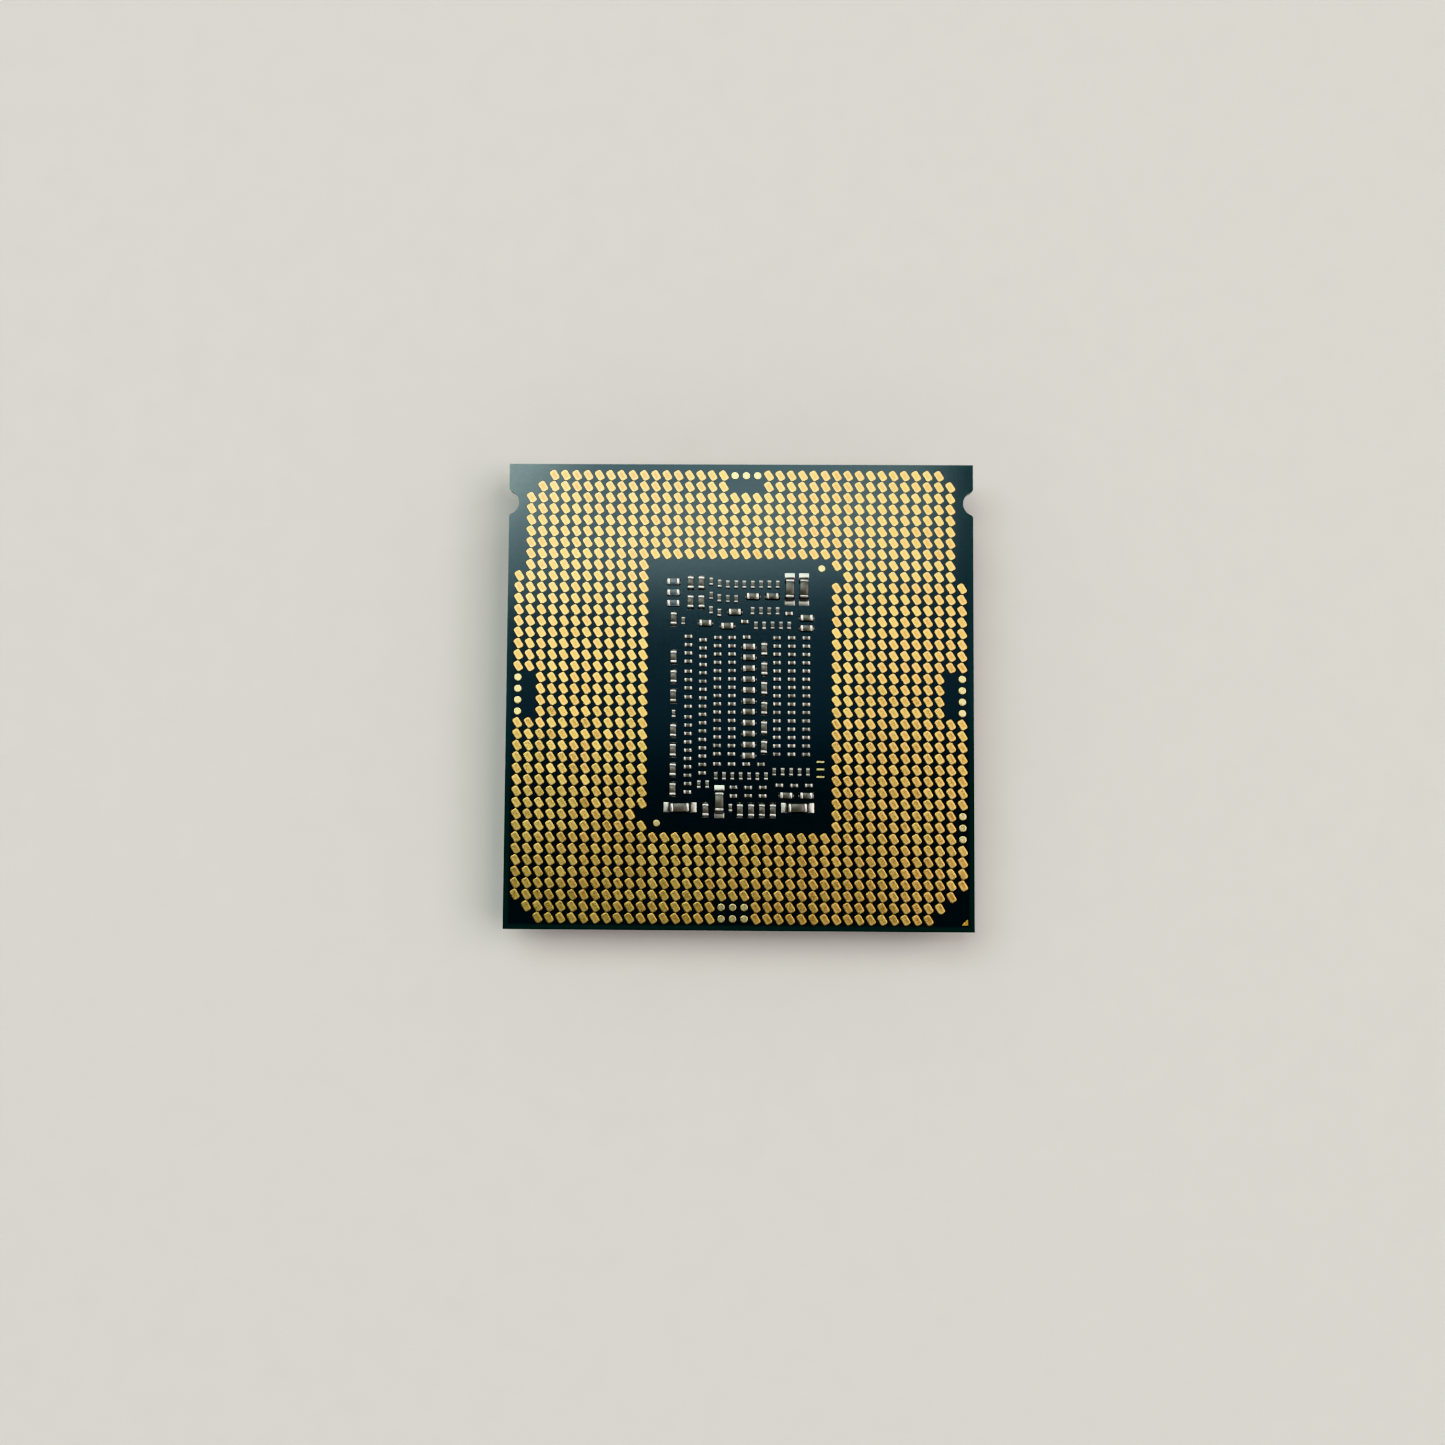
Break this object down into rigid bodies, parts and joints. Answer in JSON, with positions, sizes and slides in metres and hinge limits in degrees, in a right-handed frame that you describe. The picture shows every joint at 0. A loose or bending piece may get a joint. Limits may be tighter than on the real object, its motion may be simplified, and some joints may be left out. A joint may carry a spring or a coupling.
{
  "type": "land grid array processor",
  "caption": "Square land grid processor package, lands up: gold contact lands round a field of chip capacitors on a laminated substrate, with a metal heat spreader beneath.",
  "frame": {"origin": "centre of the package outline, on the cooler face of the heat spreader", "axes": "+Z out of the contact lands, +Y towards the edge near the two key notches, +X to the right with the lands facing the viewer"},
  "size_m": [0.0376, 0.0376, 0.005],
  "materials": {
    "nickel_plate": "satin nickel",
    "lid_adhesive": "matt silicone",
    "interface_metal": "dull",
    "silicon": "polished",
    "underfill_resin": "cured resin",
    "solder": "bright solder",
    "solder_mask": "semi-gloss lacquer over copper",
    "copper": "plated foil",
    "build_up_resin": "filled resin",
    "glass_epoxy": "cut laminate",
    "gold_plate": "satin gold over nickel",
    "capacitor_ceramic": "fired ceramic",
    "resistor_glaze": "glazed",
    "tin_plate": "bright tin"
  },
  "bodies": {
    "root": {"heat_spreader": "nickel_plate", "lid_adhesive": "lid_adhesive", "thermal_interface": "interface_metal", "silicon_die": "silicon", "underfill": "underfill_resin", "solder_bumps": "solder", "die_side_solder_mask": "solder_mask", "die_side_copper_plane": "copper", "die_side_build_up": "build_up_resin", "substrate_core": "glass_epoxy", "core_vias": "copper", "land_side_build_up": "build_up_resin", "land_side_copper_plane": "copper", "land_side_solder_mask": "solder_mask", "lands_back_left": "gold_plate", "lands_back": "gold_plate", "lands_back_right": "gold_plate", "lands_left_rear": "gold_plate", "lands_left_front": "gold_plate", "lands_right_rear": "gold_plate", "lands_right_front": "gold_plate", "lands_front_left": "gold_plate", "lands_front": "gold_plate", "lands_front_right": "gold_plate", "test_pads": "gold_plate", "alignment_dots": "gold_plate", "first_land_marker": "gold_plate", "lid_side_marker": "gold_plate", "index_bars": "gold_plate", "small_capacitor_bodies": "capacitor_ceramic", "small_capacitor_ends": "tin_plate", "small_capacitor_solder": "solder", "medium_capacitor_bodies": "capacitor_ceramic", "medium_capacitor_ends": "tin_plate", "medium_capacitor_solder": "solder", "large_capacitor_bodies": "capacitor_ceramic", "large_capacitor_ends": "tin_plate", "large_capacitor_solder": "solder", "resistor_bodies": "resistor_glaze", "resistor_ends": "tin_plate", "resistor_solder": "solder"}
  },
  "joints": []
}
